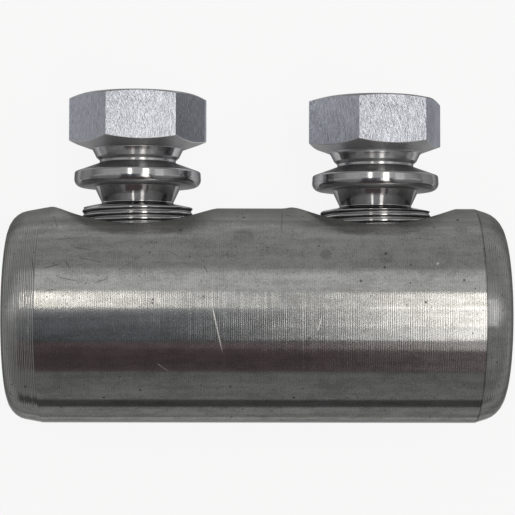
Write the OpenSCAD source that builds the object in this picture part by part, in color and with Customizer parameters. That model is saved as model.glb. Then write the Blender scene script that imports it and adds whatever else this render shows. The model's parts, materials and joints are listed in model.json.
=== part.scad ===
// In-line shear-bolt cable connector: a barrel that takes a conductor at each end,
// with one shear-head clamping bolt for each conductor.
// It lies as it comes to rest, on the barrel and on the lowest corner of a bolt head.
// Lengths are in millimetres and angles in degrees.

/* [Barrel] */
// Outer diameter of the barrel
barrel_d = 23.25; // [22:0.05:28]
// Length of the barrel over its end faces
barrel_l = 53.4; // [50:0.1:70]
// Length of the tapered band at each end, with the rounded edge
band_l = 3; // [2.8:0.1:4]
// Angle of the taper to the barrel's axis
band_angle = 14; // [2:1:20]
// Radius of the rounded edge of each end face
edge_r = 2.4; // [0.5:0.1:2.7]

/* [Conductor sockets] */
// Diameter of each conductor bore
bore_d = 10; // [7:0.1:11]
// Thickness of the wall that is left between the points of the two bores
partition_t = 3.4; // [2:0.1:6]
// Point angle of the drill that made the bores
drill_angle = 118; // [90:1:140]
// Width of the chamfer round each bore's mouth
mouth_chamfer = 0.8; // [0.3:0.1:1.5]

/* [Bolt seats] */
// Distance of each bolt's axis from the end face that its conductor goes in at
bolt_inset = 13.75; // [12.5:0.05:15]
// Diameter of each countersink on the top line of the barrel
seat_d = 17; // [15:0.1:18]
// Radial clearance of a bolt's thread in its tapped hole
thread_clear = 0.05; // [0.02:0.01:0.1]
// Room left under the tip of a bolt that is screwed right in
floor_clear = 0.2; // [0.1:0.05:0.5]

/* [Shear bolts] */
// Outer diameter of the thread
thread_d = 12; // [11:0.1:12.5]
// Width of the chamfer at the tip of the thread
tip_chamfer = 0.7; // [0.3:0.1:1.2]
// Gap between the tip of the lower bolt and the conductor bore
tip_gap = 0.15; // [0.1:0.05:1]
// Height of the cone from the thread up to the lower shear neck
shank_cone_h = 0.5; // [0.3:0.1:1.2]
// Smallest diameter of the lower shear neck
low_shear_d = 7.7; // [6:0.1:9]
// Height of the lower shear neck
low_neck_h = 1.8; // [1:0.1:3]
// Diameter of the lower shear neck under the collar
low_neck_d = 9.4; // [9:0.1:10.5]
// Diameter of the collar
collar_d = 13.9; // [12.5:0.1:14.5]
// Thickness of the collar at its rim, with the rounded lower edge
collar_t = 1.6; // [1:0.05:2.5]
// Radius of the collar's rounded lower edge
collar_edge_r = 0.6; // [0.2:0.1:0.9]
// Height of the cone on top of the collar
collar_cone_h = 1; // [0.6:0.1:2]
// Diameter of the upper shear neck
high_shear_d = 8.3; // [6:0.1:8.8]
// Height of the upper shear neck
high_shear_h = 0.3; // [0.2:0.05:1]
// Height of the cone from the upper shear neck out to the stem
stem_cone_h = 0.3; // [0.1:0.05:0.6]
// Diameter of the stem at its lower end
stem_low_d = 9; // [8.8:0.1:10]
// Height of the stem, up to the underside of the head
stem_h = 0.9; // [0.5:0.1:2]
// Diameter of the stem where it meets the head
stem_top_d = 9.9; // [9:0.1:11]
// Width of the hexagon head across its flats
hex_af = 13; // [12:0.1:14]
// Height of the head, from the stem to its top
head_h = 5.85; // [4:0.05:7]
// Slope of the turned cones above and below the hexagon
head_slope = 20; // [10:1:30]
// Diameter of the flat on top of the head
head_flat_d = 12.4; // [10:0.1:12.8]

/* [Bolts as set] */
// Depth of the left bolt's thread end below the top line of the barrel
left_sink = 0; // [0:0.025:0.6]
// Depth of the right bolt's thread end below the same line
right_sink = 0.35; // [0:0.025:0.8]
// Turn of the left bolt's head
left_turn = 5.2; // [0:0.2:30]
// Turn of the right bolt's head
right_turn = 12.6; // [0:0.2:30]

/* [Hidden] */
$fn = 96;
overcut = 1;

barrel_r = barrel_d / 2;
half_l = barrel_l / 2;
bolt_x = half_l - bolt_inset;
bore_r = bore_d / 2;
thread_r = thread_d / 2;
seat_r = seat_d / 2;
collar_r = collar_d / 2;
head_flat_r = head_flat_d / 2;
corner_r = hex_af / sqrt(3);

// The rounded edge touches both the taper and the end face
edge_x = barrel_r - edge_r / cos(band_angle) - (band_l - edge_r) * tan(band_angle);
edge_z = half_l - edge_r;

// Depth of a bore's round wall, from the end face to the drilled point
drill_point_h = bore_r / tan(drill_angle / 2);
bore_l = half_l - partition_t / 2 - drill_point_h;

// Levels of a bolt above the top end of its thread
low_neck_z = shank_cone_h;
collar_z = low_neck_z + low_neck_h;
collar_rim_z = collar_z + collar_edge_r;
collar_top_z = collar_z + collar_t;
high_shear_z = collar_top_z + collar_cone_h;
stem_cone_z = high_shear_z + high_shear_h;
stem_z = stem_cone_z + stem_cone_h;
head_z = stem_z + stem_h;
head_top_z = head_z + head_h;
thread_l = barrel_r - max(left_sink, right_sink) - bore_r - tip_gap;

// The collar lands with its rounded edge on the 45 degree countersink
collar_edge_x = collar_r - collar_edge_r;
landed_z = barrel_r - seat_r + collar_edge_x - collar_rim_z + collar_edge_r * sqrt(2);
tapped_floor_z = landed_z - thread_l - floor_clear;

// A bolt's top corner and the droop at which that corner meets the floor
corner_drop = (corner_r - head_flat_r) * tan(head_slope);
function corner_height(sink) = barrel_r - sink + head_top_z - corner_drop;
function corner_side(turn) = max([for (i = [0 : 5]) corner_r * sin(60 * i + turn)]);
function droop_of(height, side) = asin(barrel_r / norm([height, side])) - atan2(side, height);
left_droop = droop_of(corner_height(left_sink), corner_side(left_turn));
right_droop = droop_of(corner_height(right_sink), corner_side(right_turn));
droop = min(left_droop, right_droop);

// The part's box is centred on the origin and stands on the floor
highest_top = barrel_r - min(left_sink, right_sink) + head_top_z;
reach_y = highest_top * cos(droop) + head_flat_r * sin(droop);
axis_y = (barrel_r - reach_y) / 2;

// Takes a piece from the upright frame, with the bolts along Z, to its lying place
module lay() {
    translate([0, axis_y, barrel_r]) rotate([-90 - droop, 0, 0]) children();
}

// Half of the barrel's outer profile, radius by distance from the middle
module barrel_half_profile() {
    edge_tip = [edge_x + edge_r * cos(band_angle), edge_z + edge_r * sin(band_angle)];
    polygon([[0, 0], [barrel_r, 0], [barrel_r, half_l - band_l], edge_tip, [edge_x, half_l], [0, half_l]]);
    translate([edge_x, edge_z]) circle(edge_r);
}

// Blind bore with its drilled point and mouth chamfer, mouth upwards at the height of an end face
module conductor_bore() {
    mouth_r = bore_r + mouth_chamfer;
    rotate_extrude() polygon([
        [0, half_l - bore_l - drill_point_h],
        [bore_r, half_l - bore_l],
        [bore_r, half_l - mouth_chamfer],
        [mouth_r, half_l],
        [mouth_r, half_l + overcut],
        [0, half_l + overcut]
    ]);
}

// Tapped hole and its 45 degree countersink
module bolt_seat() {
    hole_r = thread_r + thread_clear;
    rotate_extrude() polygon([
        [0, tapped_floor_z],
        [hole_r, tapped_floor_z],
        [hole_r, barrel_r - seat_r + hole_r],
        [seat_r + overcut, barrel_r + overcut],
        [0, barrel_r + overcut]
    ]);
}

// Turned outline of a bolt below its head, as radius by height above the thread's top end
module bolt_profile() {
    polygon([
        [0, -thread_l],
        [thread_r - tip_chamfer, -thread_l],
        [thread_r, tip_chamfer - thread_l],
        [thread_r, 0],
        [low_shear_d / 2, low_neck_z],
        [low_neck_d / 2, collar_z],
        [collar_edge_x, collar_z],
        [collar_r, collar_rim_z],
        [collar_r, collar_top_z],
        [high_shear_d / 2, high_shear_z],
        [high_shear_d / 2, stem_cone_z],
        [stem_low_d / 2, stem_z],
        [stem_top_d / 2, head_z],
        [0, head_z]
    ]);
    translate([collar_edge_x, collar_rim_z]) circle(collar_edge_r);
}

// Hexagon with a turned cone above and below it
module bolt_head() {
    stem_r = stem_top_d / 2;
    rim_r = corner_r + overcut;
    intersection() {
        translate([0, 0, head_z]) cylinder(r = corner_r, h = head_h, $fn = 6);
        rotate_extrude() polygon([
            [0, head_z],
            [stem_r, head_z],
            [rim_r, head_z + (rim_r - stem_r) * tan(head_slope)],
            [rim_r, head_top_z - (rim_r - head_flat_r) * tan(head_slope)],
            [head_flat_r, head_top_z],
            [0, head_top_z]
        ]);
    }
}

// One bolt in its hole, at its own depth and turn
module set_bolt(x, sink, turn) {
    lay() translate([x, 0, barrel_r - sink]) rotate([0, 0, turn]) {
        rotate_extrude() bolt_profile();
        bolt_head();
    }
}

module barrel() {
    color([0.66, 0.66, 0.65]) lay() difference() {
        rotate([0, 90, 0]) rotate_extrude() {
            barrel_half_profile();
            mirror([0, 1]) barrel_half_profile();
        }
        for (turn = [0, 180]) rotate([0, 0, turn]) {
            rotate([0, -90, 0]) conductor_bore();
            translate([-bolt_x, 0, 0]) bolt_seat();
        }
    }
}

module left_shear_bolt() {
    color([0.74, 0.74, 0.75]) set_bolt(-bolt_x, left_sink, left_turn);
}

module right_shear_bolt() {
    color([0.74, 0.74, 0.75]) set_bolt(bolt_x, right_sink, right_turn);
}

barrel();
left_shear_bolt();
right_shear_bolt();
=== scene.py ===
import json
import math

import bpy
import numpy as np
from mathutils import Matrix, Vector


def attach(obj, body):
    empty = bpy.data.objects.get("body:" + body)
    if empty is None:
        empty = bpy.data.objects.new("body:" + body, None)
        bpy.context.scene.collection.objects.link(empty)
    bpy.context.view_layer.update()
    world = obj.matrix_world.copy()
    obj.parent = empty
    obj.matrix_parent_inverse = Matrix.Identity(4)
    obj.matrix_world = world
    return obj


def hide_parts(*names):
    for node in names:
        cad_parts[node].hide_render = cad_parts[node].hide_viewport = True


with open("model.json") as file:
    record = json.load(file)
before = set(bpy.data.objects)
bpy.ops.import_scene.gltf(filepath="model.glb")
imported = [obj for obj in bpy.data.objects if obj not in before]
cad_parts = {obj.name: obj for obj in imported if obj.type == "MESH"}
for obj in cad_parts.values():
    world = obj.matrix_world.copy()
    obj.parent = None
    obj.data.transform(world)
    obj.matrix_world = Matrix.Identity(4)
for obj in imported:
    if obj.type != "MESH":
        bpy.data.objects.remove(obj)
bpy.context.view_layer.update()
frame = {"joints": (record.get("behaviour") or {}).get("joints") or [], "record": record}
scene = bpy.context.scene
scene.view_settings.view_transform = "Standard"
mm = 0.001

# The connector's own axes: along the barrel, out along the bolts, and front, the side that lies uppermost
boltOut = np.array(frame["joints"][0]["axis"], float)
boltOut /= np.linalg.norm(boltOut)
along = np.array((1.0, 0.0, 0.0))
front = np.cross(along, boltOut)
mounts = {m["name"]: np.array(m["pos_m"], float) for m in frame["record"]["mounts"]}
barrelCentre = mounts["left_conductor_bore"] * (0, 1, 1)
droop = math.atan2(-boltOut[2], boltOut[1])


# Millimetres on the connector's own axes to metres in the row frame: the centre plus a share of each axis
def toRow(a, o, f):
    a, o, f = np.broadcast_arrays(a, o, f)
    return barrelCentre + mm * (a[..., None] * along + o[..., None] * boltOut + f[..., None] * front)


# A direction on the connector's own axes to the row frame
def turnToRow(a, o, f):
    return Vector(a * along + o * boltOut + f * front)


print("frame loaded, droop", round(math.degrees(droop), 2))

# Camera, in millimetres from the middle of the barrel and in the degrees that the photograph's outline gives
cameraSet = {
    "distance": 206.087, "right": 0.13, "rise": 6.296, "yaw": 0.838, "tilt": 2.722, "roll": 0.109,
    "pixelsPerMm": 9.2, "picturePixels": 515, "sensor": 36, "clip": (0.01, 20),
}


def cosineAndSine(degrees):
    return math.cos(math.radians(degrees)), math.sin(math.radians(degrees))


def makeCamera(view):
    cy, sy = cosineAndSine(view["yaw"])
    ct, st = cosineAndSine(view["tilt"])
    cr, sr = cosineAndSine(view["roll"])
    yaw = np.array(((cy, -sy, 0), (sy, cy, 0), (0, 0, 1)))
    tilt = np.array(((1, 0, 0), (0, ct, st), (0, -st, ct)))
    roll = np.array(((cr, 0, sr), (0, 1, 0), (-sr, 0, cr)))
    turn = roll @ tilt @ yaw                       # its rows are the view's right, forward and up
    place = turn.T @ np.array((view["right"], -view["distance"], view["rise"]))
    right, forward, up = (turnToRow(v[0], v[2], -v[1]) for v in turn)
    data = bpy.data.cameras.new("camera")
    data.sensor_width = view["sensor"]
    data.lens = view["pixelsPerMm"] * view["distance"] / view["picturePixels"] * view["sensor"]
    data.clip_start, data.clip_end = view["clip"]
    camera = bpy.data.objects.new("camera", data)
    scene.collection.objects.link(camera)
    turned = Matrix((right, up, -forward)).transposed().to_4x4()
    camera.matrix_world = Matrix.Translation(Vector(toRow(place[0], place[2], -place[1]))) @ turned
    scene.camera = camera


makeCamera(cameraSet)
print("camera set")

# Rounded corners: the most of a side that an arc may take, and how far past the arc its support points stand,
# as the lesser of a share of the arc's reach and a share of the side
cornerSet = {"mostOfSide": 0.62, "supportOfReach": 0.35, "supportOfSide": 0.06}


# Outline with rounded corners: each corner gives way to an arc that touches both of its sides, and a support
# point a little further along each side keeps the flats flat
def roundedOutline(corners, radii, steps=6):
    points = np.array(corners, float)
    rows = [points[:1]]
    t = np.linspace(0, 1, steps + 1)[:, None]
    for before, at, after, radius in zip(points[:-2], points[1:-1], points[2:], radii):
        back, on = before - at, after - at
        backLong, onLong = np.linalg.norm(back), np.linalg.norm(on)
        back, on = back / backLong, on / onLong
        half = 0.5 * math.acos(np.clip(back @ on, -1, 1))
        reach = min(radius / math.tan(half), cornerSet["mostOfSide"] * min(backLong, onLong))
        middle = (back + on) / np.linalg.norm(back + on)
        centre = at + middle * reach / math.cos(half)
        sweep = math.pi - 2 * half
        start, end = at + back * reach - centre, at + on * reach - centre
        arc = centre + (np.sin((1 - t) * sweep) * start + np.sin(t * sweep) * end) / math.sin(sweep)
        lead = [reach + min(cornerSet["supportOfReach"] * reach, cornerSet["supportOfSide"] * sideLong)
                for sideLong in (backLong, onLong)]
        rows += [at[None] + back * lead[0], arc, at[None] + on * lead[1]]
    return np.concatenate(rows + [points[-1:]])


# Rows added along an outline wherever two points stand further apart than the gap allows
def filledOutline(points, gap):
    steps = np.linalg.norm(np.diff(points, axis=0), axis=1)
    counts = np.maximum(1, np.ceil(steps / gap)).astype(int)
    start = np.repeat(np.arange(len(steps)), counts)
    share = np.concatenate([np.arange(n) / n for n in counts])[:, None]
    rows = points[start] * (1 - share) + points[start + 1] * share
    return np.concatenate((rows, points[-1:]))


# Closed skin over a grid of rows by columns: the columns join up round the piece, the first and last row are
# poles, and the values go along as attributes of the points
def skin(name, grid, values=None):
    rows, columns = grid.shape[:2]
    flatten = lambda layer: np.concatenate((
        layer[:1, 0], layer[1:-1].reshape((-1,) + layer.shape[2:]), layer[-1:, 0]))
    points = flatten(grid)
    here = 1 + np.arange((rows - 2) * columns).reshape(rows - 2, columns)
    beside = np.roll(here, -1, axis=1)
    quads = np.stack((here[:-1], beside[:-1], beside[1:], here[1:]), axis=-1).reshape(-1, 4)
    first = np.stack((np.zeros(columns, int), beside[0], here[0]), axis=-1)
    last = np.stack((np.full(columns, len(points) - 1), here[-1], beside[-1]), axis=-1)
    triangles = np.concatenate((quads[:, :3], quads[:, [0, 2, 3]], first, last))
    p = points[triangles] - points.mean(0)
    if np.einsum("ij,ij->", p[:, 0], np.cross(p[:, 1], p[:, 2])) < 0:      # inside out
        quads, first, last = quads[:, ::-1], first[:, ::-1], last[:, ::-1]
    mesh = bpy.data.meshes.new(name)
    mesh.from_pydata(points.tolist(), [], quads.tolist() + first.tolist() + last.tolist())
    for key, layer in (values or {}).items():
        flat = flatten(layer)
        kind, field = ("FLOAT_VECTOR", "vector") if flat.ndim == 2 else ("FLOAT", "value")
        mesh.attributes.new(key, kind, "POINT").data.foreach_set(field, flat.ravel())
    mesh.polygons.foreach_set("use_smooth", np.ones(len(mesh.polygons), bool))
    mesh.update()
    piece = bpy.data.objects.new(name, mesh)
    scene.collection.objects.link(piece)
    return piece


# Barrel, in millimetres and degrees. The seats' rims are softest on the left, where they have a low lip
barrelSet = {
    "radius": 11.625, "halfLength": 26.7,
    "leftEnd": {"band": 3.75, "angle": 10.4, "edge": 2.3, "crease": 1.2},
    "rightEnd": {"band": 3.1, "angle": 17.5, "edge": 3.0, "crease": 0.12},
    "boreRadius": 5.0, "boreDepth": 21.9957, "pointDepth": 25.0, "mouthChamfer": 0.8,
    "pointEdge": 0.3, "mouthEdge": 0.15,
    "seatRadius": 8.5, "seatAt": 12.95, "seatFloor": 9.3,
    "holeRadius": 6.05, "holeFloor": 1.0985, "holeTop": 11.0, "holeSides": 128,
    "softRimLeft": 1.0, "softRimRight": 0.35, "softRimFront": 0.2,
    "lip": 0.22, "lipOut": 0.3, "lipWidth": 0.8, "leftFade": 0.8, "cutDepth": 0.6, "cutClearOfEnds": 2.5,
    "bodyGap": 0.15, "endGap": 1.2, "seatColumns": (38, 102), "plainColumns": (41, 94), "sharpFrom": 35,
}


# Radius at which a 45 degree countersink cuts a line from the barrel's axis at angle t: the larger root of
# (r cos t - depth)^2 = x^2 + (r sin t)^2, with x the distance from the bolt's axis along the barrel
def countersink(x, t, depth):
    double = np.cos(2 * t)
    least, never = 0.02, 1e3
    safe = np.where(double > least, double, least)
    cut = (depth * np.cos(t) + np.sqrt((depth * np.sin(t)) ** 2 + safe * x ** 2)) / safe
    return np.where(double > least, cut, never)


# The lesser of two values, rounded off where they differ by less than k
def softMin(p, q, k):
    return np.minimum(p, q) - np.maximum(k - np.abs(p - q), 0) ** 2 / (4 * k)


# Outline of the barrel from the left bore's point round the outside to the right one's, as distance along the
# axis and radius, with more rows along the body
def barrelOutline(shape):
    half, r = shape["halfLength"], shape["radius"]
    bore, chamfer = shape["boreRadius"], shape["mouthChamfer"]
    socket = [(half - shape["pointDepth"], 0), (half - shape["boreDepth"], bore), (half - chamfer, bore),
              (half, bore + chamfer)]
    corners, radii = {}, {}
    for key in ("leftEnd", "rightEnd"):
        end = shape[key]
        face = r - end["band"] * math.tan(math.radians(end["angle"]))
        corners[key] = socket + [(half, face), (half - end["band"], r)]
        radii[key] = [shape["pointEdge"], shape["mouthEdge"], shape["mouthEdge"], end["edge"], end["crease"]]
    left = [(-x, y) for x, y in corners["leftEnd"]]
    points = roundedOutline(left + corners["rightEnd"][::-1], radii["leftEnd"] + radii["rightEnd"][::-1])
    onBody = points[:, 1] > r - 0.01               # within a hundredth of the full radius
    return filledOutline(points, np.where(onBody[:-1] & onBody[1:], shape["bodyGap"], shape["endGap"]))


# Barrel: its outline swung round the axis, with each countersink taken off by a soft minimum of the two radii
def makeBarrel(shape):
    half, r, seatRadius = shape["halfLength"], shape["radius"], shape["seatRadius"]
    rows = barrelOutline(shape)
    (seatTurn, seatCount), (plainTurn, plainCount) = shape["seatColumns"], shape["plainColumns"]
    t = np.radians(np.concatenate((
        np.linspace(-seatTurn, seatTurn, seatCount), np.linspace(plainTurn, 360 - plainTurn, plainCount))))
    x, radius = rows[:, 0:1] + 0 * t, rows[:, 1:2] + 0 * t
    outside = (radius > r - shape["cutDepth"]) & (np.abs(x) < half - shape["cutClearOfEnds"])
    upper = np.maximum(np.cos(2 * t), 0) * (np.cos(t) > 0)
    for at in (-shape["seatAt"], shape["seatAt"]):
        away = np.hypot(x - at, radius * np.sin(t))
        left = 1 / (1 + np.exp((x - at) / shape["leftFade"]))
        ring = np.exp(-((away - seatRadius - shape["lipOut"]) / shape["lipWidth"]) ** 2)
        lip = shape["lip"] * left * ring * upper
        floor = shape["seatFloor"] / np.maximum(np.cos(t), 0.5)      # flat, and round beyond 60 degrees
        cut = np.maximum(countersink(x - at, t, r - seatRadius), floor)
        side = shape["softRimRight"] + (shape["softRimLeft"] - shape["softRimRight"]) * left
        soft = shape["softRimFront"] + (side - shape["softRimFront"]) * ((x - at) / np.maximum(away, 1)) ** 2
        radius = np.where(outside, softMin(radius + lip, cut, soft), radius)
    piece = skin("barrel_turned", toRow(x, radius * np.cos(t), radius * np.sin(t)))
    drill(piece, [makeCutter(shape, at) for at in (-shape["seatAt"], shape["seatAt"])])
    piece.data.set_sharp_from_angle(angle=math.radians(shape["sharpFrom"]))
    return piece


# Drill for a tapped hole: a cylinder round the bolt's axis
def makeCutter(shape, at):
    turn = np.linspace(0, 2 * np.pi, shape["holeSides"], endpoint=False)
    reach = np.array((0, 1, 1, 0))[:, None] * shape["holeRadius"]
    height = np.repeat((shape["holeFloor"], shape["holeTop"]), 2)[:, None]
    return skin("tap_drill", toRow(at + reach * np.cos(turn), height + 0 * turn, reach * np.sin(turn)))


# Takes the cutters out of a piece, and then out of the scene
def drill(piece, cutters):
    for cutter in cutters:
        cut = piece.modifiers.new("tapped hole", "BOOLEAN")
        cut.operation, cut.solver, cut.object = "DIFFERENCE", "EXACT", cutter
    bpy.context.view_layer.update()
    drilled = bpy.data.meshes.new_from_object(piece.evaluated_get(bpy.context.evaluated_depsgraph_get()))
    piece.modifiers.clear()
    plain, piece.data = piece.data, drilled
    name = plain.name
    bpy.data.meshes.remove(plain)
    drilled.name = name
    for cutter in cutters:
        mesh = cutter.data
        bpy.data.objects.remove(cutter)
        bpy.data.meshes.remove(mesh)


barrel = makeBarrel(barrelSet)
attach(barrel, "barrel")
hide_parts("barrel")
print("barrel turned,", len(barrel.data.polygons), "faces")

# Shear bolts, in millimetres above the top end of the thread and in degrees. The thread's crest and flank are
# shares of a turn
boltSet = {
    "threadRadius": 6.0, "threadLength": 6.125, "threadFrom": 0.02, "threadTo": 0.3, "pitch": 0.61,
    "threadDepth": 0.18, "crest": 0.06, "flank": 0.40, "flankRound": 0.35, "threadSoft": 0.03,
    "tipChamfer": 0.7, "tipEdge": 0.1, "threadEdge": 0.08,
    "lowShear": 3.85, "lowShearAt": 0.5, "lowNeck": 4.7, "neckEdge": 0.12,
    "collar": 6.95, "collarAt": 2.3, "collarTop": 3.9, "collarLean": 0.1,
    "collarEdge": 0.8, "collarTopEdge": 0.22,
    "highShear": 4.15, "highShearAt": 4.9, "highShearEdge": 0.1, "stemConeAt": 5.2, "stemConeEdge": 0.08,
    "stemLow": 4.5, "stemAt": 5.5, "stemEdge": 0.1, "stem": 4.95,
    "headAt": 6.4, "headTop": 12.27, "flats": 6.5, "slope": 20, "topSlope": 15, "topFlat": 6.2,
    "underside": 1.2, "edge": 0.1, "rimEdge": 0.15, "cornerSharpness": 260,
    "threadGap": 0.045, "gap": 0.4, "fineBelow": 0.2, "fineDepth": 0.8, "fineFrom": 4.6,
    "cornerColumns": (0.14, 0.4, 0.7, 1.1, 1.7), "flatColumns": (3.6, 23),
    "undersideRows": 4, "flatRows": 12, "chamferRows": 2, "topRows": 14, "headEdgeRows": 4,
}
boltPlaces = {
    "left": {
        "at": -12.95, "sink": 0.0, "turn": 5.2, "threadStart": 0.095, "stemFillet": 0.25, "millShift": 0.0},
    "right": {
        "at": 12.95, "sink": 0.35, "turn": 12.6, "threadStart": 0.748, "stemFillet": 0.7, "millShift": 0.5},
}


# Distance of the hexagon's side from the axis in each direction: the flats over a high power mean of the
# cosines to the six flats, which leaves the corners slightly rounded
def hexagonReach(turn, flats, sharpness):
    cosines = np.maximum(np.cos(turn[:, None] - np.radians(30 + 60 * np.arange(6))), 0)
    return flats / (cosines ** sharpness).sum(1) ** (1 / sharpness)


# Depth of the thread below its crest, from 0 to 1 by the share of a turn from the crest: mostly a straight
# flank, with some of a smooth step to round the crest and the root
def threadCut(share, shape):
    away = np.abs(share - np.round(share))
    ramp = np.clip((away - shape["crest"]) / shape["flank"], 0, 1)
    smooth = shape["flankRound"]
    return ramp * ramp * (3 - 2 * ramp) * smooth + ramp * (1 - smooth)


# Directions of a bolt's columns: close together at the six corners, even along the flats
def boltColumns(shape):
    corner = np.array(shape["cornerColumns"])
    start, count = shape["flatColumns"]
    offsets = np.concatenate((-corner[::-1], corner, np.linspace(start, 60 - start, count)))
    return np.radians((60 * np.arange(6)[:, None] + offsets).ravel())


# Bolt below its head: an outline of radius by height swung round the axis, with a helical thread at its foot
def boltFoot(shape, place, turn):
    slope = math.tan(math.radians(shape["slope"]))
    thread, length, tip = (shape[key] for key in ("threadRadius", "threadLength", "tipChamfer"))
    corners = [
        (0, -length), (thread - tip, -length), (thread, tip - length), (thread, 0),
        (shape["lowShear"], shape["lowShearAt"]), (shape["lowNeck"], shape["collarAt"]),
        (shape["collar"], shape["collarAt"]), (shape["collar"] - shape["collarLean"], shape["collarTop"]),
        (shape["highShear"], shape["highShearAt"]), (shape["highShear"], shape["stemConeAt"]),
        (shape["stemLow"], shape["stemAt"]), (shape["stem"], shape["headAt"]),
        (shape["stem"] + shape["underside"], shape["headAt"] + shape["underside"] * slope)]
    radii = [shape[key] for key in (
        "tipEdge", "tipEdge", "threadEdge", "neckEdge", "neckEdge", "collarEdge", "collarTopEdge",
        "highShearEdge", "stemConeEdge", "stemEdge")] + [place["stemFillet"]]
    outline = roundedOutline(corners, radii)
    r, h = outline.T
    onThread = (h[:-1] < shape["fineBelow"]) & (r[:-1] > thread - shape["fineDepth"])
    onThread = onThread & (r[1:] > shape["fineFrom"])
    lathe = filledOutline(outline, np.where(onThread, shape["threadGap"], shape["gap"]))
    reach, height = lathe[:, 0:1] + 0 * turn, lathe[:, 1:2] + 0 * turn
    share = height / shape["pitch"] - turn / (2 * np.pi) + place["threadStart"]
    cut = thread - shape["threadDepth"] * threadCut(share, shape)
    soft = shape["threadSoft"]
    threaded = (height < shape["threadTo"]) & (height > shape["threadFrom"] - length)
    return np.where(threaded, softMin(reach, cut, soft) + soft / 4, reach), height


# Bolt with its head on: rows that follow the hexagon between the two turned cones and close over the flat
# top. The third grid is 1 on the flats
def boltHead(shape, turn, foot):
    slope, topSlope = (math.tan(math.radians(shape[key])) for key in ("slope", "topSlope"))
    top, flat = shape["headTop"], shape["topFlat"]
    side = hexagonReach(turn, shape["flats"], shape["cornerSharpness"])
    low, high = shape["headAt"] + (side - shape["stem"]) * slope, top - (side - flat) * topSlope
    bend = lambda corners, radius: roundedOutline(corners, [radius], shape["headEdgeRows"])[1:-1, :, None]
    lowBend = bend([(-1, -slope), (0, 0), (0, 1)], shape["edge"])
    highBend = bend([(0, -1), (0, 0), (-1, topSlope)], shape["edge"])
    rimBend = bend([(flat + 1, top - topSlope), (flat, top), (0, top)], shape["rimEdge"])
    lowEdge = side + lowBend[:, 0], low + lowBend[:, 1]
    highEdge = side + highBend[:, 0], high + highBend[:, 1]
    rim = rimBend[:, 0] + 0 * turn, rimBend[:, 1] + 0 * turn
    pole = 0 * turn[None], top + 0 * turn[None]

    # Rows between the last row of one band and the first of the next
    def between(p, q, count):
        t = np.linspace(0, 1, count + 2)[1:-1, None]
        return tuple(before[-1:] * (1 - t) + after[:1] * t for before, after in zip(p, q))

    bands = [
        foot, between(foot, lowEdge, shape["undersideRows"]), lowEdge,
        between(lowEdge, highEdge, shape["flatRows"]), highEdge,
        between(highEdge, rim, shape["chamferRows"]), rim, between(rim, pole, shape["topRows"]), pole]
    reach, height = (np.concatenate(rows) for rows in zip(*bands))
    onFlat = np.zeros_like(reach)
    first = sum(len(band[0]) for band in bands[:3]) - 1
    onFlat[first:first + shape["flatRows"] + 2] = 1
    return reach, height, onFlat


# Bolt as one skin of rows by columns. It carries its own turned and milled places for the finish: across, out
# and up from the axis, and across its flat, up and the flat's number, which the shift makes another one on
# each bolt
def makeBolt(name, shape, place):
    turn = boltColumns(shape)
    reach, height, onFlat = boltHead(shape, turn, boltFoot(shape, place, turn))
    turned = turn + math.radians(place["turn"])
    face = np.floor(turn / np.radians(60))
    acrossFlat = reach * np.sin(turn - np.radians(60 * face + 30))
    onFace = np.stack((acrossFlat, height, face + place["millShift"] + 0 * height), axis=-1)
    own = np.stack((reach * np.cos(turn), reach * np.sin(turn), height), axis=-1)
    grid = toRow(place["at"] + reach * np.cos(turned), barrelSet["radius"] - place["sink"] + height,
                 -reach * np.sin(turned))
    return skin(name, grid, {"boltPoint": own, "millPoint": onFace, "onFlat": onFlat})


bolts = {}
for sideName, place in boltPlaces.items():
    bolt = bolts[sideName] = makeBolt(sideName + "_bolt_turned", boltSet, place)
    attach(bolt, sideName + "_bolt")
    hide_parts(sideName + "_shear_bolt")
    print(sideName, "bolt turned,", len(bolt.data.polygons), "faces")


# A socket in sums: an operator on it adds a Math node
class Wire:
    def __init__(self, bench, socket):
        self.bench, self.socket = bench, socket

    def sum(self, operation, *others):
        return self.bench.add("Math", {"operation": operation}, dict(enumerate((self,) + others)))

    def __add__(self, other):
        return self.sum("ADD", other)

    def __sub__(self, other):
        return self.sum("SUBTRACT", other)

    def __mul__(self, other):
        return self.sum("MULTIPLY", other)

    def __truediv__(self, other):
        return self.sum("DIVIDE", other)

    def __pow__(self, other):
        return self.sum("POWER", other)

    def __abs__(self):
        return self.sum("ABSOLUTE")

    def __rsub__(self, other):
        return self.bench.add("Math", {"operation": "SUBTRACT"}, {0: other, 1: self})

    __radd__ = __add__
    __rmul__ = __mul__

    # 0 below low, 1 above high and a smooth step between
    def step(self, low, high):
        return self.bench.add("MapRange", {"interpolation_type": "SMOOTHSTEP"}, {
            "Value": self, "From Min": low, "From Max": high})


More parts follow.
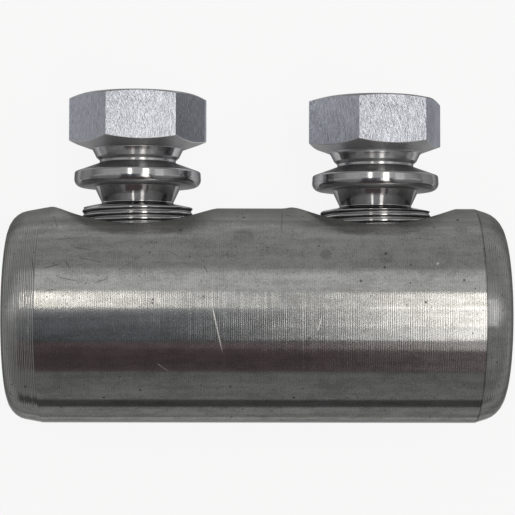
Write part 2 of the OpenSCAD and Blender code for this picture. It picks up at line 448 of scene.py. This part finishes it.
# One node tree and the one way of adding to it: the settings first, then values or links
class Bench:
    def __init__(self, tree):
        self.tree = tree
        tree.nodes.clear()

    def add(self, kind, settings, inputs, output=0):
        node = self.tree.nodes.new("ShaderNode" + kind)
        for key, value in settings.items():
            if key == "stops":
                ramp = node.color_ramp
                while len(ramp.elements) < len(value):
                    ramp.elements.new(1)
                for element, (at, colour) in zip(ramp.elements, value):
                    element.position, element.color = at, (*colour, 1)
            else:
                setattr(node, key, value)
        for key, value in inputs.items():
            if isinstance(value, Wire):
                self.tree.links.new(value.socket, node.inputs[key])
            else:
                node.inputs[key].default_value = value
        return Wire(self, node.outputs[output]) if node.outputs else node

    def parts(self, vector):
        return [self.add("SeparateXYZ", {}, {0: vector}, i) for i in range(3)]

    def point(self, x, y, z):
        return self.add("CombineXYZ", {}, {0: x, 1: y, 2: z})

    # Noise in space and noise along a line, both about 0
    def noise(self, vector, scale, detail=2.0, rough=0.5):
        return self.add("TexNoise", {}, {
            "Vector": vector, "Scale": scale, "Detail": detail, "Roughness": rough}) - 0.5

    def lines(self, place, scale, detail=2.0):
        return self.add("TexNoise", {"noise_dimensions": "1D"}, {
            "W": place, "Scale": scale, "Detail": detail}) - 0.5

    # Scallops of a round-nosed tool: the square of the distance from the middle of each pass, up to the depth
    def scallops(self, place, pitch, depth):
        return ((place / pitch).sum("FRACT") - 0.5) ** 2 * (4 * depth)

    # Round specks, one at a random place in each cell and of a random size up to the largest
    def dots(self, vector, scale, least, most):
        away, tint = (self.add("TexVoronoi", {}, {"Vector": vector, "Scale": scale}, i) for i in (0, 1))
        size = least + self.parts(tint)[0] ** 2 * (most - least)
        return 1 - self.add("MapRange", {}, {"Value": away, "From Min": size * 0.5, "From Max": size})

    # Straight mark between two places: near the line through them and between its ends
    def scratch(self, x, y, fromX, fromY, toX, toY, width):
        long = math.hypot(toX - fromX, toY - fromY)
        wayX, wayY = (toX - fromX) / long, (toY - fromY) / long
        on = (x - fromX) * wayX + (y - fromY) * wayY
        off = abs((x - fromX) * wayY - (y - fromY) * wayX)
        return (1 - off.step(width * 0.3, width)) * on.step(0, 0.2 * long) * (1 - on.step(0.7 * long, long))

    def blend(self, factor, p, q):
        return self.add("Mix", {"data_type": "RGBA"}, {0: factor, 6: p, 7: q}, 2)

    # Heights in millimetres. The narrow filter keeps grooves finer than a pixel from tilting along themselves
    def bump(self, height):
        return self.add("Bump", {}, {"Height": height, "Strength": 1.0, "Distance": mm, "Filter Width": 0.02})

    def metal(self, colour, roughness, normal, edge):
        shader = self.add("BsdfPrincipled", {}, {
            "Base Color": colour, "Roughness": roughness, "Metallic": 1.0, "Normal": normal,
            "Specular Tint": (edge, edge, edge, 1)})
        self.add("OutputMaterial", {}, {"Surface": shader})


def newMaterial(name):
    material = bpy.data.materials.new(name)
    material.use_nodes = True
    return material, Bench(material.node_tree)


# Finish of the tinned barrel, in millimetres. Places on it are distances along the barrel and round it from
# the front. A band of deeper lines has where it starts and is full, and how much deeper it is. A crease has
# its place and the depth of the painted shade along it. Scratches run between two places, with a width and a
# tone that is brighter above 0. Stains are round, with a radius and a depth. The upper side, from which the
# bolts stand out, is rougher, and painted shade makes its colour darker, with a darker painted stripe along
# it. A noise has a scale, a detail and a roughness, and specks have a scale, a least and a largest size, and
# a share
tinSet = {
    "clean": (0.52, 0.52, 0.515, 1), "dull": (0.33, 0.33, 0.32, 1),
    "pit": (0.08, 0.08, 0.08, 1), "bare": (0.78, 0.77, 0.74, 1), "roughness": 0.09, "edge": 0.3,
    "linePitch": 0.2, "lineHeight": 0.0014, "toolPitch": 0.047, "toolDepth": 0.00087, "linesFade": (9, 13),
    "lineDrift": (0.35, 0.10), "linePatches": 1.6, "linesShown": 0.8,
    "leftBand": (22.8, 23.1, 6), "rightBand": (23.5, 23.8, 2.5),
    "creaseShades": [(-22.95, 0.04), (23.6, 0.6)], "creaseShadeWidth": (0.04, 0.15),
    "smears": (1.0, 3, 0.6), "smearStretch": (0.12, 1.3), "clouds": (0.22, 4, 0.6), "grain": (5.5, 2, 0.7),
    "blotches": (1.1, 2, 0.6), "blotchStretch": 0.6,
    "specks": [(0.75, 0.02, 0.17, 1.0), (1.9, 0.02, 0.26, 0.7)],
    "tone": {
        "base": 0.45, "smears": 1.2, "clouds": 0.9, "grain": 1.8, "blotches": 1.0,
        "lines": 0.25, "upper": 0.5},
    "relief": {"waves": 0.0008, "grain": 0.002, "blotches": 0.002, "pits": -0.001},
    "dulled": {"tone": 0.03, "marks": 0.35, "pits": 0.3, "upper": 0.3, "seat": 0.15, "ends": 0.15},
    # Painted shade on the upper side: where the tone turns duller, where the colour darkens, and a stripe
    "upperShadeTone": (8.5, 12.5), "upperDulled": (9.0, 11.8), "upperPaintedShade": (11.2, 12.8), "upperShadeDepth": 0.25,
    "paintedStripeFrom": (10.5, 11.0), "paintedStripeTo": (11.7, 12.2),
    "seatDulled": (9.2, 7.2), "endsDulled": (24.4, 25.4),
    "scratches": [
        (18.5, 5.3, 18.8, 5.6, 0.14, 0.9), (-15.2, 11.6, -12.6, 11.0, 0.16, -0.5),
        (-6.9, 12.8, -6.5, 11.2, 0.08, -0.4), (2.9, 13.4, 3.9, 12.9, 0.12, -0.5),
        (-21.5, 12.6, -20.9, 9.9, 0.08, -0.4), (-19.4, 7.4, -17.2, 7.0, 0.08, -0.5),
        (-4.7, 0.8, -3.5, -4.6, 0.09, 0.6), (-10.5, -5.2, -9.0, -6.4, 0.07, 0.35),
        (6.1, -1.9, 6.6, -0.2, 0.08, 0.5), (-10.2, 1.0, -10.1, 1.9, 0.22, 0.7),
        (2.7, 14.3, 2.5, 9.4, 0.10, -0.45), (9.1, 8.0, 12.0, 10.7, 0.06, -0.35),
        (-23.4, 6.2, -22.9, 3.4, 0.08, -0.5), (-14.6, 4.4, -11.2, 6.9, 0.06, -0.3),
        (-5.6, 5.2, -5.1, 4.2, 0.09, -0.5), (20.4, 6.1, 22.6, 4.6, 0.07, -0.35),
        (14.2, -7.6, 17.4, -8.2, 0.08, -0.3), (-22.3, 4.7, -20.2, 5.3, 0.09, -0.6),
        (-20.7, 3.8, -18.3, 3.3, 0.07, -0.55), (-18.7, 6.1, -15.9, 5.4, 0.08, -0.5),
        (-17.0, 3.1, -15.2, 3.7, 0.07, -0.55), (-21.4, 8.4, -18.2, 8.8, 0.08, -0.4),
        (-20.0, 5.9, -19.3, 4.6, 0.08, -0.5), (-15.1, 7.9, -12.7, 8.5, 0.07, -0.4),
        (-22.1, 2.2, -20.8, 2.5, 0.08, -0.6), (15.7, 8.9, 19.1, 8.4, 0.07, -0.35),
        (-13.9, -9.9, -8.8, -10.4, 0.09, -0.3), (3.6, -10.7, 9.4, -10.2, 0.09, -0.3),
        (-9.3, 6.9, -8.1, 6.2, 0.08, -0.45)],
    "stains": [
        (13.1, 4.97, 0.15, 0.9), (-9.6, 9.9, 0.8, 0.2), (21.4, 10.2, 0.9, 0.2), (7.1, 6.5, 0.75, 0.30),
        (13.3, 6.2, 0.95, 0.22), (-1.5, 9.0, 1.4, 0.2), (17.5, 4.2, 1.1, 0.16)],
}


# Fine lines of the turning, which drift and come and go along the barrel: a sine of the place
def turningLines(bench, look, own, a, o, f, around):
    driftAlong, driftRound = look["lineDrift"]
    drift = bench.lines(a, 0.8, 2) * driftAlong + bench.noise(own, 0.6, 1) * driftRound
    wave = ((a + drift) * (2 * math.pi / look["linePitch"])).sum("SINE")
    uneven = bench.lines(a + 40, 2.2, 2)
    patches = bench.noise(bench.point(a * 0.3, o * 0.5, f * 0.5), 1.0, 2)
    leftFrom, leftFull, leftGain = look["leftBand"]
    rightFrom, rightFull, rightGain = look["rightBand"]
    bands = 1 + a.step(rightFrom, rightFull) * rightGain + (0 - a).step(leftFrom, leftFull) * leftGain
    shown = uneven * look["linePatches"] + patches * look["linePatches"] + look["linesShown"]
    shown = shown.step(0.0, 2 * look["linesShown"])
    return bands * wave * shown * (1 - abs(around).step(*look["linesFade"]))


def makeTin(look):
    material, bench = newMaterial("tinned barrel")
    turnBack = Matrix.Rotation(droop, 3, "X")
    centred = bench.add("Mapping", {"vector_type": "POINT"}, {
        "Vector": bench.add("TexCoord", {}, {}, 3), "Rotation": (droop, 0, 0),
        "Location": -(turnBack @ Vector(barrelCentre))})
    own = bench.add("VectorMath", {"operation": "SCALE"}, {0: centred, "Scale": 1 / mm})
    a, o, f = bench.parts(own)
    around = o.sum("ARCTAN2", f) * barrelSet["radius"]

    turning = turningLines(bench, look, own, a, o, f, around)
    lengthwise, crosswise = look["smearStretch"]
    smears = bench.noise(bench.point(a * lengthwise, o * crosswise, f * crosswise), *look["smears"])
    clouds = bench.noise(own, *look["clouds"])
    grain = bench.noise(own, *look["grain"])
    blotches = bench.noise(bench.point(a * look["blotchStretch"], o, f), *look["blotches"])
    pits = sum(bench.dots(own, scale, least, most) * part for scale, least, most, part in look["specks"])

    share = look["tone"]
    tone = share["base"] + smears * share["smears"] + clouds * share["clouds"] + grain * share["grain"]
    tone = tone + blotches * share["blotches"] + turning * share["lines"]
    # Painted shade: the upper side is drawn towards the dull colour
    tone = tone + around.step(*look["upperShadeTone"]) * share["upper"]
    colour = bench.blend(tone.step(0.0, 1.0), look["clean"], look["dull"])
    for at, by, radius, depth in look["stains"]:
        away = ((a - at) ** 2 + (around - by) ** 2) ** 0.5
        colour = bench.blend((1 - away.step(radius * 0.6, radius)) * depth, colour, look["pit"])
    # Painted shade: a darker band along the upper side, with a stripe along it, blended towards the pit colour
    paintedStripe = around.step(*look["paintedStripeFrom"]) * (1 - around.step(*look["paintedStripeTo"]))
    upper = around.step(*look["upperPaintedShade"]) + paintedStripe
    colour = bench.blend(upper * look["upperShadeDepth"], colour, look["pit"])
    # Painted shade along each crease, darker where the clouds are
    for crease, depth in look["creaseShades"]:
        on = 1 - abs(a - crease).step(*look["creaseShadeWidth"])
        colour = bench.blend(on * depth * (1 + clouds * 2.5), colour, look["pit"])
    marks = 0
    for x, y, toX, toY, width, bright in look["scratches"]:
        mark = bench.scratch(a + grain * 0.1, around, x, y, toX, toY, width)
        marks = marks + mark * (bright > 0)
        colour = bench.blend(mark * abs(bright), colour, look["bare"] if bright > 0 else look["pit"])
    colour = bench.blend((pits * 0.8).sum("MINIMUM", 1.0), colour, look["pit"])

    relief = look["relief"]
    height = turning * look["lineHeight"] + bench.scallops(a, look["toolPitch"], look["toolDepth"])
    height = height + bench.lines(a, 0.9, 2) * relief["waves"] + grain * relief["grain"]
    height = height + blotches * relief["blotches"] + pits * relief["pits"]

    dulled = look["dulled"]
    seat = ((abs(a) - barrelSet["seatAt"]) ** 2 + f ** 2) ** 0.5
    seat = seat.step(*look["seatDulled"]) * o.step(0, 2)
    roughness = look["roughness"] + tone * dulled["tone"] + marks * dulled["marks"] + pits * dulled["pits"]
    roughness = roughness + around.step(*look["upperDulled"]) * dulled["upper"] + seat * dulled["seat"]
    roughness = roughness + abs(a).step(*look["endsDulled"]) * dulled["ends"]
    bench.metal(colour, roughness, bench.bump(height), look["edge"])
    return material


# Finish of the shear bolts: turned below the head and on its top, milled on the flats, with painted shade in
# the thread's roots, in the upper groove and on one flat, and painted light on the undersides. A mill centre
# is across and up on a flat, with its share of the strokes
boltFinish = {
    "turned": (0.52, 0.52, 0.53, 1), "dull": (0.36, 0.36, 0.37, 1), "under": (0.68, 0.68, 0.69, 1),
    "milled": (0.83, 0.855, 0.955, 1), "shadowed": (0.24, 0.245, 0.265, 1), "root": (0.24, 0.24, 0.24, 1),
    "edge": 0.2, "turnedRoughness": 0.08, "milledRoughness": 0.36,
    "lineHeight": 0.0018, "waveHeight": 0.002, "toolPitch": 0.04, "toolDepth": 0.00035, "grainHeight": 0.056,
    "lineSlope": 0.83, "grooves": (7.0, 2), "waves": (1.6, 1), "clouds": (0.45, 3, 0.6),
    "tone": {"base": 0.3, "clouds": 1.4, "topClouds": -1.1, "grooves": 0.5, "topGrooves": 0.9, "rim": 0.35},
    "rim": (6.5, 6.9), "levelFade": 0.1, "collarUnder": (-0.1, 0.25), "collarFrom": (4.6, 4.8),
    "coneUnder": 0.7, "millCentres": [(10, 8, 1.0), (-8, 2, 0.5)], "millDrift": 0.7, "strokes": (1.0, 1, 0.6),
    "strokeStretch": (8, 10, 7), "sparkle": (7.0, 1, 0.5), "millSparkle": 0.5, "millContrast": 0.75,
    "millTone": 0.56, "shadedFlat": 5, "shadedFlatBy": 0.43, "rootShadeFade": (0.05, 0.2), "rootShadeDepth": 0.55,
    "grooveMiddle": 0.2, "grooveFade": (0.25, 0.5), "grooveReach": (4.4, 4.9), "grooveShadeDepth": 0.3,
    "dulled": {"tone": 0.05, "under": 0.3, "shaded": 0.35},
}


# Milling marks on the flats: noise drawn out along circles round each mill centre, with a finer sparkle
def millMarks(bench, look, own, w, up, face):
    marks = bench.noise(own, *look["sparkle"]) * look["millSparkle"]
    outward, around, perFlat = look["strokeStretch"]
    for centreW, centreUp, share in look["millCentres"]:
        x, y = w + centreW - face * look["millDrift"], up - centreUp
        sweep = (x * x + y * y) ** 0.5
        stroke = bench.point(sweep * outward, y.sum("ARCTAN2", x) * around, face * perFlat)
        marks = marks + bench.noise(stroke, *look["strokes"]) * share
    return marks


def makeBoltMetal(look):
    material, bench = newMaterial("turned bolt")
    own = bench.add("Attribute", {"attribute_name": "boltPoint"}, {}, 1)
    flat = bench.add("Attribute", {"attribute_name": "onFlat"}, {}, 2)
    u, v, h = bench.parts(own)
    w, up, face = bench.parts(bench.add("Attribute", {"attribute_name": "millPoint"}, {}, 1))
    reach = (u * u + v * v) ** 0.5
    line = h + reach * look["lineSlope"]
    grooves = bench.lines(line, *look["grooves"])
    clouds = bench.noise(own, *look["clouds"])
    mill = millMarks(bench, look, own, w, up, face)
    top = h.step(boltSet["headTop"] - 0.04, boltSet["headTop"] - 0.01)
    waves = bench.lines(line, *look["waves"])
    turning = grooves * look["lineHeight"] * (1 + top) + waves * look["waveHeight"]
    turning = turning + bench.scallops(line, look["toolPitch"], look["toolDepth"])
    height = (1 - flat) * turning + flat * mill * look["grainHeight"]

    share = look["tone"]
    tone = clouds * (share["clouds"] + top * share["topClouds"])
    tone = tone + grooves * (share["grooves"] + top * share["topGrooves"])
    tone = (tone + share["base"] + reach.step(*look["rim"]) * share["rim"]).step(0.0, 1.0)
    turned = bench.blend(tone, look["turned"], look["dull"])
    fade = look["levelFade"]
    level = lambda low, high: h.step(low - fade, low + fade) * (1 - h.step(high - fade, high + fade))
    headAt, collarAt, groove = (boltSet[key] for key in ("headAt", "collarAt", "highShearAt"))
    # Painted light: the head's underside, the collar's underside and the cone over the collar take the paler
    # under colour
    under = level(headAt, headAt + boltSet["underside"]) * (1 - flat)
    collarLow, collarHigh = look["collarUnder"]
    under = under + level(collarAt + collarLow, collarAt + collarHigh) * reach.step(*look["collarFrom"])
    under = under + level(boltSet["collarTop"], groove) * look["coneUnder"]
    turned = bench.blend(under, turned, look["under"])
    # Painted shade: one flat of the hexagon is darker, on the bolt whose flat numbers are not shifted
    onShadedFlat = 1 - abs(face - look["shadedFlat"]).step(0.3, 0.5)
    millTone = mill * look["millContrast"] + look["millTone"] - onShadedFlat * look["shadedFlatBy"]
    milled = bench.blend(millTone.step(0.0, 1.0), look["shadowed"], look["milled"])
    colour = bench.blend(flat, turned, milled)
    # Painted shade in the thread's roots and in the upper groove, blended towards the root colour
    rootShade = (boltSet["threadRadius"] - reach).step(*look["rootShadeFade"]) * (1 - h.step(-0.06, 0.06))
    grooveShade = 1 - abs(h - groove - look["grooveMiddle"]).step(*look["grooveFade"])
    grooveShade = grooveShade * (1 - reach.step(*look["grooveReach"]))
    shaded = rootShade * look["rootShadeDepth"] + grooveShade * look["grooveShadeDepth"]
    colour = bench.blend(shaded, colour, look["root"])
    dulled = look["dulled"]
    roughness = look["turnedRoughness"] + tone * dulled["tone"] + under * dulled["under"]
    roughness = roughness + shaded * dulled["shaded"]
    roughness = roughness + flat * (look["milledRoughness"] - look["turnedRoughness"])
    bench.metal(colour, roughness, bench.bump(height), look["edge"])
    return material


tin, boltMetal = makeTin(tinSet), makeBoltMetal(boltFinish)
barrel.data.materials.clear()
barrel.data.materials.append(tin)
for bolt in bolts.values():
    bolt.data.materials.append(boltMetal)
print("finishes made")

# Floor: a white card under the connector on a pale grey board, in metres. The board is a little darker in
# front of the barrel. The camera and the metal see it all lifted by a share of its own colour, under which
# the shadow stays
floorSet = {
    "card": (0.98, 0.98, 0.98, 1), "cardHalf": 0.026, "cardMiddle": -0.002, "cardFade": (0.0085, 0.0105),
    "board": (0.44, 0.44, 0.435, 1), "boardFront": (0.33, 0.33, 0.325, 1), "frontFade": (0.035, 0.085),
    "boardHalf": (0.24, 0.092), "boardPoints": 49, "roughness": 0.9, "lift": 0.9,
}


def makeFloor(look):
    x, y = np.meshgrid(*(np.linspace(-half, half, look["boardPoints"]) for half in look["boardHalf"]))
    points = np.stack((x, y, 0 * x), axis=-1).reshape(-1, 3)
    here = np.arange(len(points)).reshape(x.shape)
    quads = np.stack((here[:-1, :-1], here[:-1, 1:], here[1:, 1:], here[1:, :-1]), axis=-1).reshape(-1, 4)
    mesh = bpy.data.meshes.new("floor")
    mesh.from_pydata(points.tolist(), [], quads.tolist())
    floor = bpy.data.objects.new("floor", mesh)
    scene.collection.objects.link(floor)
    material, bench = newMaterial("floor card")
    x, y = bench.parts(bench.add("TexCoord", {}, {}, 3))[:2]
    over = lambda part: (abs(part) - look["cardHalf"]).sum("MAXIMUM", 0.0)
    away = (over(x) ** 2 + over(y - look["cardMiddle"]) ** 2) ** 0.5
    ground = bench.blend((0 - y).step(*look["frontFade"]), look["board"], look["boardFront"])
    colour = bench.blend(away.step(*look["cardFade"]), look["card"], ground)
    matt = bench.add("BsdfPrincipled", {}, {
        "Base Color": colour, "Roughness": look["roughness"], "Specular IOR Level": 0.0})
    lifted = bench.add("Emission", {}, {"Color": colour, "Strength": 1.0})
    path = bench.add("LightPath", {}, {}).socket.node.outputs
    seen = sum(Wire(bench, path[key]) for key in ("Is Camera Ray", "Is Glossy Ray", "Is Transmission Ray"))
    shader = bench.add("MixShader", {}, {0: seen.sum("MINIMUM", 1.0) * look["lift"], 1: matt, 2: lifted})
    bench.add("OutputMaterial", {}, {"Surface": shader})
    mesh.materials.append(material)


makeFloor(floorSet)
print("floor laid")

# Lamps by direction from the connector: degrees to the right of the front and degrees out towards the bolts,
# the brightness of the lit panel, and its colour
lampSet = {
    "leftPanel": {"right": (-14.8, -9.4), "out": (6.3, 23.3), "glow": 3.4, "colour": (1.0, 0.95, 0.86)},
    "leftTab": {"right": (-14.8, -9.4), "out": (1.5, 6.3), "glow": 0.5, "colour": (1.0, 0.98, 0.95)},
    "leftLow": {"right": (-14.8, -9.4), "out": (-27, 1.5), "glow": 0.1, "colour": (0.95, 0.98, 1.0)},
    "rightPanelHigh": {"right": (11.3, 20.6), "out": (7.0, 22.6), "glow": 3.2, "colour": (1.0, 0.96, 0.87)},
    "rightPanel": {"right": (11.3, 20.6), "out": (-12, 7.0), "glow": 3.6, "colour": (1.0, 0.97, 0.90)},
    "rightPanelLow": {"right": (11.3, 20.6), "out": (-27, -12), "glow": 2.7, "colour": (1.0, 0.98, 0.93)},
    "rightPanelFoot": {"right": (11.3, 20.6), "out": (-38, -27), "glow": 1.0, "colour": (1.0, 0.97, 0.94)},
    "rightPanelEnd": {"right": (11.3, 20.6), "out": (-62, -38), "glow": 0.25, "colour": (1.0, 0.95, 0.93)},
    "rightFrame": {"right": (7.0, 11.3), "out": (-27, 7.0), "glow": 0.9, "colour": (1.0, 0.98, 0.94)},
    "rightHaze": {"right": (-2, 7.0), "out": (-36, 7.0), "glow": 0.08, "colour": (1.0, 0.98, 0.97)},
    "rightSide": {"right": (33, 50), "out": (-10, 14), "glow": 0.4, "colour": (1.0, 0.99, 0.97)},
}
lampPlace = {"distance": 0.8, "aim": (0, 6, 0)}      # metres, and millimetres on the connector's own axes


# Lamp as a rectangle that fills its directions and faces the connector. A panel that looks as bright as its
# glow gives four times the glow for each square metre
def makeLamp(name, look, place):
    right, out = (math.radians(sum(look[key]) / 2) for key in ("right", "out"))
    towards = turnToRow(math.sin(right), math.cos(right) * math.sin(out), math.cos(right) * math.cos(out))
    data = bpy.data.lights.new(name, "AREA")
    data.shape = "RECTANGLE"
    spread = lambda key: math.tan(math.radians(look[key][1] - look[key][0]) / 2)
    data.size, data.size_y = (2 * place["distance"] * spread(key) for key in ("right", "out"))
    data.energy = look["glow"] * 4 * data.size * data.size_y
    data.color = look["colour"]
    lamp = bpy.data.objects.new(name, data)
    scene.collection.objects.link(lamp)
    across = (Vector(along) - towards * towards.dot(Vector(along))).normalized()
    turned = Matrix((across, towards.cross(across), towards)).transposed().to_4x4()
    stand = Vector(toRow(*place["aim"])) + towards * place["distance"]
    lamp.matrix_world = Matrix.Translation(stand) @ turned


for lampName, lampLook in lampSet.items():
    makeLamp(lampName, lampLook, lampPlace)
print("lamps set")

# Room round the connector, as greys or colours by degrees out from the front towards the bolts: a dark place
# where the camera stands, a pale panel over the bolts, grey walls with a dark foot, and a pale ground that
# carries on from the board. The sides begin where the direction's share along the barrel reaches the first of
# two values
roomSet = {
    "middle": [
        (-180, 0.4), (-118, 0.34), (-115, 0.08), (-102.6, 0.08), (-101.4, 0.245),
        (-63.8, (0.188, 0.188, 0.186)), (-62.6, (0.10, 0.078, 0.078)), (-45, (0.09, 0.07, 0.07)),
        (-29.8, (0.12, 0.09, 0.089)), (-28.6, (0.06, 0.066, 0.078)), (-8, (0.115, 0.122, 0.135)),
        (6.2, (0.21, 0.218, 0.235)), (7.4, (0.64, 0.64, 0.63)), (23.2, (0.66, 0.66, 0.65)),
        (24.2, (0.6, 0.6, 0.59)), (31, (0.71, 0.71, 0.7)), (43, (0.68, 0.68, 0.67)),
        (48.5, (0.5, 0.5, 0.49)), (50.4, (0.35, 0.35, 0.34)), (90, (0.36, 0.36, 0.35)),
        (120, 0.4), (180, 0.4)],
    "sides": [
        (-180, 0.4), (-112, 0.4), (-98, 0.2), (-64, (0.27, 0.27, 0.267)), (-30, 0.27),
        (-12, (0.34, 0.34, 0.335)), (2, (0.6, 0.595, 0.585)), (16, (0.66, 0.655, 0.645)),
        (27, (0.42, 0.42, 0.415)), (50, 0.28), (90, (0.34, 0.34, 0.335)), (110, 0.4), (180, 0.4)],
    "sidesFrom": (0.42, 0.5),
}


def makeRoom(look):
    world = bpy.data.worlds.new("room")
    scene.world = world
    world.use_nodes = True
    bench = Bench(world.node_tree)
    way = bench.add("TexCoord", {}, {}, 0)
    part = lambda axis: bench.add("VectorMath", {"operation": "DOT_PRODUCT"}, {0: way, 1: tuple(axis)}, 1)
    a, o, f = part(along), part(boltOut), part(front)
    degrees = o.sum("ARCTAN2", f) * (180 / math.pi)
    onRamp = lambda turn: (turn + 180) / 360
    ramps = {}
    for key in ("middle", "sides"):
        stops = [(onRamp(at), np.broadcast_to(colour, 3).tolist()) for at, colour in look[key]]
        ramps[key] = bench.add("ValToRGB", {"stops": stops}, {0: onRamp(degrees)})
    colour = bench.blend(abs(a).step(*look["sidesFrom"]), ramps["middle"], ramps["sides"])
    bench.add("OutputWorld", {}, {"Surface": bench.add("Background", {}, {"Color": colour, "Strength": 1.0})})


makeRoom(roomSet)
print("room set")
